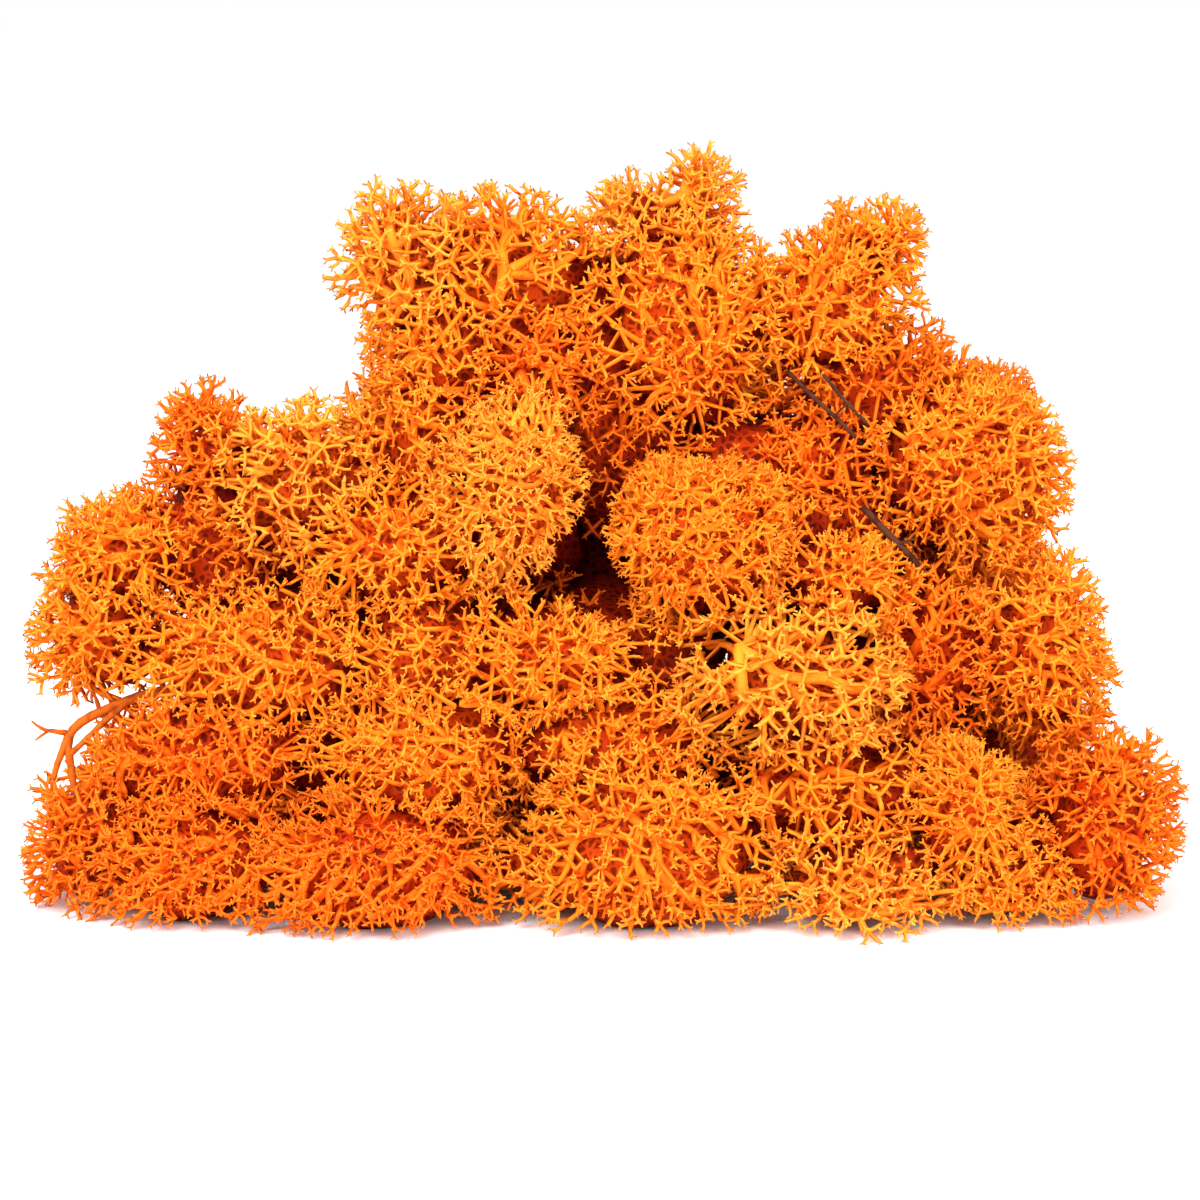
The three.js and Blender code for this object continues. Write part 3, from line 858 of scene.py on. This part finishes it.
def swept(runs, sides, steps):
    """Closed tubes along runs of points with a radius at each point, as one mesh."""
    rings = bpy.data.curves.new("ring", "CURVE")
    ring = rings.splines.new("POLY")
    ring.points.add(sides - 1)
    ring.use_cyclic_u = True
    for i, p in enumerate(ring.points):
        turn = -2 * math.pi * i / sides
        p.co = (math.cos(turn), math.sin(turn), 0, 1)
    curve = bpy.data.curves.new("branches", "CURVE")
    curve.dimensions = "3D"
    curve.bevel_mode = "OBJECT"
    curve.bevel_object = bpy.data.objects.new("ring", rings)
    curve.use_fill_caps = True
    for spots, widths in runs:
        spline = curve.splines.new("NURBS")
        spline.points.add(len(spots) - 1)
        for p, spot, wide in zip(spline.points, spots, widths):
            p.co = (*spot, 1)
            p.radius = wide
        spline.order_u = 3
        spline.use_endpoint_u = True
        spline.resolution_u = steps
    holder = bpy.data.objects.new("branches", curve)
    for used in (holder, curve.bevel_object):
        bpy.context.scene.collection.objects.link(used)
    seen = holder.evaluated_get(bpy.context.evaluated_depsgraph_get())
    mesh = bpy.data.meshes.new_from_object(seen)
    for used in (holder, curve.bevel_object):
        bpy.data.objects.remove(used)
    for used in (curve, rings):
        bpy.data.curves.remove(used)
    bm = bmesh.new()
    bm.from_mesh(mesh)
    bmesh.ops.remove_doubles(bm, verts=bm.verts[:], dist=1e-7)
    if bm.calc_volume(signed=True) < 0:
        bmesh.ops.reverse_faces(bm, faces=bm.faces[:])
    bm.to_mesh(mesh)
    bm.free()
    return mesh


# ---------------------------------------------------------------- cushions


def add_heart(bm, heap, open_depth):
    """The crowded middle of a cushion, where the branches are too dense to see through, coloured
    dark as painted shade. It is open_depth under the open side, and meets its neighbours where no
    light falls. Gives the open air over each of its vertices."""
    first = len(bm.verts)
    bmesh.ops.create_icosphere(bm, subdivisions=3, radius=1.0)
    bm.verts.ensure_lookup_table()
    made = bm.verts[first:]
    ways = np.array([v.co.normalized()[:] for v in made])
    rough = np.array([noise.noise(Vector(w * 5)) for w in ways])
    farthest = 1 / np.linalg.norm(ways / heap.half, axis=1)
    edge = heap.middle + ways * farthest[:, None]
    air = open_air(edge, ways)[0]
    shaded = 1 - np.clip(air / 0.25, 0, 1)
    shaded *= np.clip((edge[:, 2] - 6 * MM) / (10 * MM), 0, 1)
    # Halving the range 12 times finds the edge of the heart to about 0.01 mm.
    low, high = np.full(len(ways), 1 * MM), farthest * (1 + 0.25 * shaded)
    for _ in range(12):
        half_way = (low + high) / 2
        spots = heap.middle + ways * half_way[:, None]
        depth = open_depth + 2.0 * rough + 0.25 * np.maximum(0, 10 - spots[:, 2] / MM)
        depth = depth * (1 - shaded) + 1.5 * shaded
        under = (heap.rise(spots) < -depth * MM) & (heap.ours(spots) > 0.2 * MM)
        low, high = np.where(under, half_way, low), np.where(under, high, half_way)
    for v, way, far in zip(made, ways, low):
        v.co = heap.middle + way * far
    return air


def add_piece(context, name, mesh, finish, node=None):
    """Sets a finished mesh in the scene, in the place of a node's solid if one is named."""
    mesh.materials.append(finish)
    piece = bpy.data.objects.new(name, mesh)
    context.scene.collection.objects.link(piece)
    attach(piece, "root")
    if node:
        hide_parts(node)


def over_stalk(points):
    """Which points would hide the bare stalk from someone in front who looks slightly down."""
    downward, clear, middle, reach = 0.16, 5.5 * MM, 6 * MM, 12 * MM
    route = np.array(STALK_RUNS[0][0][2:]) * MM + RUNS_SHIFT
    off = points[:, None] - route[None]
    beside = np.hypot(off[:, :, 0], off[:, :, 2] + downward * off[:, :, 1])
    return ((beside < clear) & (abs(off[:, :, 1] + middle) < reach)).any(axis=1)


def heads_of(heap, node, sizes, rng):
    """Where the star heads of a cushion stand: their feet, ways, kinds and open air."""
    habit_name = EVERY_CUSHION[node][0]
    habit = HABITS[habit_name]
    gap = sizes.head_gap * habit["gap"]
    height = HEAD_RISE * sizes.head_width * habit["head"]
    root, bare = ROOTS.get(node, ((0, 0, 0), 0))
    feet, ways, kinds, airs = [], [], [], []
    for layer in range(habit["layers"]):
        spots, outs = heap.spots(gap * LAYER_GAPS[layer], rng)
        air, free = open_air(spots, outs)
        seen = (air > habit["light"] + LAYER_LIGHT[layer]) & ~over_stalk(spots)
        # The side round the root stays bare, with a ragged edge.
        if bare:
            ways_out = unit((spots - heap.middle) / heap.half)
            off = np.degrees(np.arccos(np.clip(ways_out @ Vector(root).normalized(), -1, 1)))
            seen &= off > bare * LAYER_BARE[layer] * rng.uniform(0.8, 1.15, len(off))
        # In the groove between two cushions the heads crowd out towards the open side.
        groove = np.maximum(0, 1 - air / HALF_OPEN)[:, None]
        outs = unit(outs * (1 - 0.5 * groove) + free * 0.5 * groove)
        dips = np.array([noise.noise(Vector(p) / (11 * MM) + Vector((3, 1, 7))) for p in spots])
        sunk = -dips * habit["sunk"] * (1 - groove[:, 0]) + rng.uniform(-0.9, 0.9, len(dips))
        deep = height + sunk * MM + layer * sizes.layer_drop
        lean = unit(outs + rng.normal(0, 0.24, outs.shape))
        feet.append((spots - outs * deep[:, None])[seen])
        ways.append(lean[seen])
        airs.append(air[seen])
        for here in air[seen]:
            near = "wide" if habit_name == "netted" and rng.random() < 0.55 else "near"
            outer = layer == 0 and here > 0.25 and habit_name != "behind"
            kinds.append(near if outer else "deep")
    feet, ways = np.vstack(feet), np.vstack(ways)
    # Nothing grows into the floor: heads close to it turn level and lie on it.
    feet[:, 2] = np.maximum(feet[:, 2], 1.3 * MM)
    grounded = feet[:, 2] < 7 * MM
    ways[grounded, 2] = np.maximum(ways[grounded, 2], -0.12)
    return feet, unit(ways), kinds, np.concatenate(airs)


def forks_of(heap, node, sizes, rng):
    """The root of a cushion's branches, and where they fork: all through the inside, and in a
    shell a little under the heads."""
    habit = HABITS[EVERY_CUSHION[node][0]]
    inner = heap.filling(sizes.fork_gap * 1.2, 10.5 * MM, rng)
    shell, outs = heap.spots(sizes.fork_gap * habit["gap"] * 0.86, rng)
    shell = shell - outs * (HEAD_RISE * sizes.head_width * habit["head"] + 2.6 * MM)
    shell = shell[(heap.ours(shell) > 0) & (shell[:, 2] > 1.5 * MM) & ~over_stalk(shell)]
    if node in ROOTS:
        root = heap.middle + ROOTS[node][0] * heap.half
    else:
        root = inner[np.argmin(np.linalg.norm(inner - np.array(CORE) * MM, axis=1))]
    forks = np.vstack([inner, shell])
    return root, forks + rng.normal(0, 0.8 * MM, forks.shape)


def set_heads(bm, ends, ways, kinds, size, rng):
    """Sets a star head on every end, each turned, stretched and dyed a little differently."""
    heads = head_kinds()
    own = bm.verts.layers.float["own"]
    for foot, way, kind in zip(ends, ways, kinds):
        first = len(bm.verts)
        bm.from_mesh(heads[kind][rng.integers(len(heads[kind]))])
        bm.verts.ensure_lookup_table()
        made = bm.verts[first:]
        scale = size * rng.uniform(0.84, 1.16)
        turn = UP.rotation_difference(Vector(way)).to_matrix().to_4x4()
        roll = Matrix.Rotation(rng.uniform(0, 2 * math.pi), 4, "Z")
        wide, deep = scale * rng.uniform(0.88, 1.12), scale * rng.uniform(0.88, 1.12)
        place = Matrix.Translation(foot) @ turn @ roll @ Matrix.Diagonal((wide, deep, scale, 1))
        bmesh.ops.transform(bm, matrix=place, verts=made)
        share = rng.random()
        for v in made:
            v[own] = share


def mark_light(mesh, heap, heads_end, ends, airs, heart_air):
    """Marks how far inside its cushion each vertex is, and how shut in, for the material's painted
    shade. The heart's vertices come after those of the heads."""
    co = np.empty(len(mesh.vertices) * 3)
    mesh.vertices.foreach_get("co", co)
    co = co.reshape(-1, 3)
    # Depth inside the cushion, which the material turns into painted shade.
    inside = np.clip(-heap.rise(co) / (14 * MM), 0, 1)
    # The heart's vertices take the dark net colour in full, as painted shade.
    inside[heads_end:] = 2.0
    # The branches take their open air from the three heads nearest to them.
    apart = np.linalg.norm(co[:, None] - ends[None], axis=2)
    three = np.argpartition(apart, min(3, len(ends) - 1), axis=1)[:, :3]
    air = np.append(airs[three[:heads_end]].mean(axis=1), heart_air)
    # The less open air, the more painted shade.
    shut = 1 - np.clip(air / HALF_OPEN, 0, 1)
    for name, values in (("inside", inside), ("shut", shut)):
        marks = mesh.attributes.new(name, "FLOAT", "POINT")
        marks.data.foreach_set("value", values.astype(np.float32))


def grow_cushion(context, node):
    """Grows one cushion: forks and heads inside its form, joined by branches to its root."""
    sizes = context.scene.lichen_sizes
    habit = HABITS[EVERY_CUSHION[node][0]]
    # The back has softer grooves than the front.
    heap = Heap(node, sizes.blend * (1.8 if node in BACK else 1))
    rng = np.random.default_rng([sizes.seed, *node.encode()])
    ends, ways, kinds, airs = heads_of(heap, node, sizes, rng)
    root, forks = forks_of(heap, node, sizes, rng)
    points, parent, first_end = joined_up(root, ends, forks, sizes.fork_gap, rng)
    buried = heap.rise(points) < -(habit["heart"] + 3) * MM
    thick = sizes.main_radius * habit["stout"]

    bm = bmesh.new()
    for mark in ("tip", "own"):
        bm.verts.layers.float.new(mark)
    for mesh in branches(points, parent, first_end, buried, sizes.stalk_radius, thick, ways):
        bm.from_mesh(mesh)
        bpy.data.meshes.remove(mesh)
    set_heads(bm, ends, ways, kinds, sizes.head_width * habit["head"] / WIDTH_AS_MADE, rng)
    heads_end = len(bm.verts)
    heart_air = add_heart(bm, heap, habit["heart"])
    for v in bm.verts:
        v.co.z = max(v.co.z, LOWEST)
    mesh = bpy.data.meshes.new(node + "_grown")
    bm.to_mesh(mesh)
    bm.free()
    mark_light(mesh, heap, heads_end, ends, airs, heart_air)
    mesh.shade_smooth()
    dyes, slot = context.scene.lichen_colours, SLOTS[node]
    finish = dyed_lichen(slot + "_dyed", getattr(dyes, slot))
    add_piece(context, node + "_grown", mesh, finish, node)


def grow_cushions(context, cushions):
    """Grows every cushion of a table."""
    for node in cushions:
        grow_cushion(context, node)


def wood_piece(runs):
    """Rough old stalks along runs of points in mm."""
    placed = [
        ([np.array(p) * MM + RUNS_SHIFT for p in points], np.array(widths) * MM)
        for points, widths in runs
    ]
    mesh = swept(placed, sides=10, steps=6)
    bm = bmesh.new()
    bm.from_mesh(mesh)
    # Bumps about 1.6 mm apart and up to 0.16 mm high.
    for v in bm.verts:
        v.co += v.normal * noise.noise(v.co / (1.6 * MM)) * 0.16 * MM
    bm.to_mesh(mesh)
    bm.free()
    mesh.shade_smooth()
    return mesh


# ---------------------------------------------------------------- stage


def lay_floor(scene):
    """A wide sheet of white paper."""
    bm = bmesh.new()
    bmesh.ops.create_grid(bm, x_segments=1, y_segments=1, size=30)
    mesh = bpy.data.meshes.new("floor")
    bm.to_mesh(mesh)
    bm.free()
    paper, _, shader = new_material("white_paper")
    shader.inputs["Base Color"].default_value = (*linear("#ffffff"), 1)
    shader.inputs["Roughness"].default_value = 0.9
    shader.inputs["Specular IOR Level"].default_value = 0.1
    mesh.materials.append(paper)
    floor = bpy.data.objects.new("floor", mesh)
    scene.collection.objects.link(floor)


def light_room(scene, look):
    """A white room all round, and two large soft lamps."""
    world = bpy.data.worlds.new("white_room")
    world.use_nodes = True
    sky = world.node_tree.nodes["Background"]
    sky.inputs["Color"].default_value = (1, 1, 1, 1)
    sky.inputs["Strength"].default_value = look.room_light
    scene.world = world
    for name, place, size, share in LAMPS:
        lamp = bpy.data.lights.new(name, "AREA")
        lamp.shape, lamp.size, lamp.energy = "DISK", size, look.key_light * share
        holder = bpy.data.objects.new(name, lamp)
        holder.location = place
        holder.rotation_euler = (AIM - Vector(place)).to_track_quat("-Z", "Y").to_euler()
        scene.collection.objects.link(holder)


def set_camera(scene, look):
    """A long lens in front of the heap, looking slightly down."""
    lens = bpy.data.cameras.new("camera")
    lens.lens, lens.sensor_width = 120, 36
    lens.clip_start, lens.clip_end = 0.05, 20
    camera = bpy.data.objects.new("camera", lens)
    tilt = look.camera_tilt
    away = Vector((0, -math.cos(tilt), math.sin(tilt)))
    camera.location = AIM + look.camera_distance * away
    camera.rotation_euler = (math.pi / 2 - tilt, 0, 0)
    scene.collection.objects.link(camera)
    scene.camera = camera
    scene.view_settings.view_transform = "Standard"


# ---------------------------------------------------------------- operators and panel


class MOSS_OT_feet(bpy.types.Operator):
    """Grow the seven front cushions that stand on the floor"""

    bl_idname = "moss.feet"
    bl_label = "Feet"
    bl_options = {"REGISTER", "UNDO"}

    def execute(self, context):
        grow_cushions(context, FEET)
        return {"FINISHED"}


class MOSS_OT_sills(bpy.types.Operator):
    """Grow the low second row of cushions"""

    bl_idname = "moss.sills"
    bl_label = "Sills"
    bl_options = {"REGISTER", "UNDO"}

    def execute(self, context):
        grow_cushions(context, SILLS)
        return {"FINISHED"}


class MOSS_OT_belly(bpy.types.Operator):
    """Grow the wide middle row of cushions"""

    bl_idname = "moss.belly"
    bl_label = "Belly"
    bl_options = {"REGISTER", "UNDO"}

    def execute(self, context):
        grow_cushions(context, BELLY)
        return {"FINISHED"}


class MOSS_OT_chest(bpy.types.Operator):
    """Grow the cushions of the chest"""

    bl_idname = "moss.chest"
    bl_label = "Chest"
    bl_options = {"REGISTER", "UNDO"}

    def execute(self, context):
        grow_cushions(context, CHEST)
        return {"FINISHED"}


class MOSS_OT_shoulders(bpy.types.Operator):
    """Grow the cushions of both shoulders"""

    bl_idname = "moss.shoulders"
    bl_label = "Shoulders"
    bl_options = {"REGISTER", "UNDO"}

    def execute(self, context):
        grow_cushions(context, SHOULDERS)
        return {"FINISHED"}


class MOSS_OT_crown(bpy.types.Operator):
    """Grow the top cushions"""

    bl_idname = "moss.crown"
    bl_label = "Crown"
    bl_options = {"REGISTER", "UNDO"}

    def execute(self, context):
        grow_cushions(context, CROWN)
        return {"FINISHED"}


class MOSS_OT_inside(bpy.types.Operator):
    """Grow the hidden cushions that carry the others"""

    bl_idname = "moss.inside"
    bl_label = "Inside"
    bl_options = {"REGISTER", "UNDO"}

    def execute(self, context):
        grow_cushions(context, INSIDE)
        return {"FINISHED"}


class MOSS_OT_back(bpy.types.Operator):
    """Grow the cushions of the back"""

    bl_idname = "moss.back"
    bl_label = "Back"
    bl_options = {"REGISTER", "UNDO"}

    def execute(self, context):
        grow_cushions(context, BACK)
        return {"FINISHED"}


class MOSS_OT_bare_stalk(bpy.types.Operator):
    """Bend the bare old stalk that leaves the heap on the left, with its side twigs"""

    bl_idname = "moss.bare_stalk"
    bl_label = "Bare stalk"
    bl_options = {"REGISTER", "UNDO"}

    def execute(self, context):
        finish = old_wood("old_stalk_bare", context.scene.lichen_colours.old_stalk)
        mesh, slot = wood_piece(STALK_RUNS), SLOTS["bare_stalk"]
        add_piece(context, "bare_stalk_grown", mesh, finish, "bare_stalk")
        return {"FINISHED"}


class MOSS_OT_dead_twigs(bpy.types.Operator):
    """Lay the dark dead twigs between the cushions"""

    bl_idname = "moss.dead_twigs"
    bl_label = "Dead twigs"
    bl_options = {"REGISTER", "UNDO"}

    def execute(self, context):
        finish = old_wood("dead_twig_bark", context.scene.lichen_colours.dead_twig)
        add_piece(context, "dead_twigs", wood_piece(TWIG_RUNS), finish)
        return {"FINISHED"}


class MOSS_OT_stage(bpy.types.Operator):
    """Lay the pale floor, light it softly and set the camera"""

    bl_idname = "moss.stage"
    bl_label = "Stage"
    bl_options = {"REGISTER", "UNDO"}

    def execute(self, context):
        scene, look = context.scene, context.scene.stage_look
        lay_floor(scene)
        light_room(scene, look)
        set_camera(scene, look)
        return {"FINISHED"}


class MOSS_PT_clump(bpy.types.Panel):
    """Lists the pieces of the clump and their sizes and colours"""

    bl_label = "Reindeer moss clump"
    bl_space_type = "VIEW_3D"
    bl_region_type = "UI"
    bl_category = "Moss clump"

    def draw(self, context):
        for group in ("lichen_sizes", "lichen_colours", "stage_look"):
            box = self.layout.box()
            settings = getattr(context.scene, group)
            for name in settings.bl_rna.properties.keys():
                if name not in ("rna_type", "name"):
                    box.prop(settings, name)
        for operator in OPERATORS:
            self.layout.operator(operator.bl_idname)


GROUPS = {
    "lichen_sizes": LichenSizes,
    "lichen_colours": LichenColours,
    "stage_look": StageLook,
}
OPERATORS = (
    MOSS_OT_feet,
    MOSS_OT_sills,
    MOSS_OT_belly,
    MOSS_OT_chest,
    MOSS_OT_shoulders,
    MOSS_OT_crown,
    MOSS_OT_inside,
    MOSS_OT_back,
    MOSS_OT_bare_stalk,
    MOSS_OT_dead_twigs,
    MOSS_OT_stage,
)


def register():
    """Adds the settings, the operators and the panel."""
    for name, group in GROUPS.items():
        bpy.utils.register_class(group)
        setattr(bpy.types.Scene, name, bpy.props.PointerProperty(type=group))
    for made in (*OPERATORS, MOSS_PT_clump):
        bpy.utils.register_class(made)


def unregister():
    """Takes them out again."""
    for made in reversed((*OPERATORS, MOSS_PT_clump)):
        bpy.utils.unregister_class(made)
    for name, group in reversed(GROUPS.items()):
        delattr(bpy.types.Scene, name)
        bpy.utils.unregister_class(group)


def main():
    """Grows the clump piece by piece and sets the stage."""
    register()
    for operator in OPERATORS:
        kind, name = operator.bl_idname.split(".")
        getattr(getattr(bpy.ops, kind), name)()
    for head in (mesh for kinds in HEADS.values() for mesh in kinds):
        bpy.data.meshes.remove(head)
    HEADS.clear()


if __name__ == "__main__":
    main()
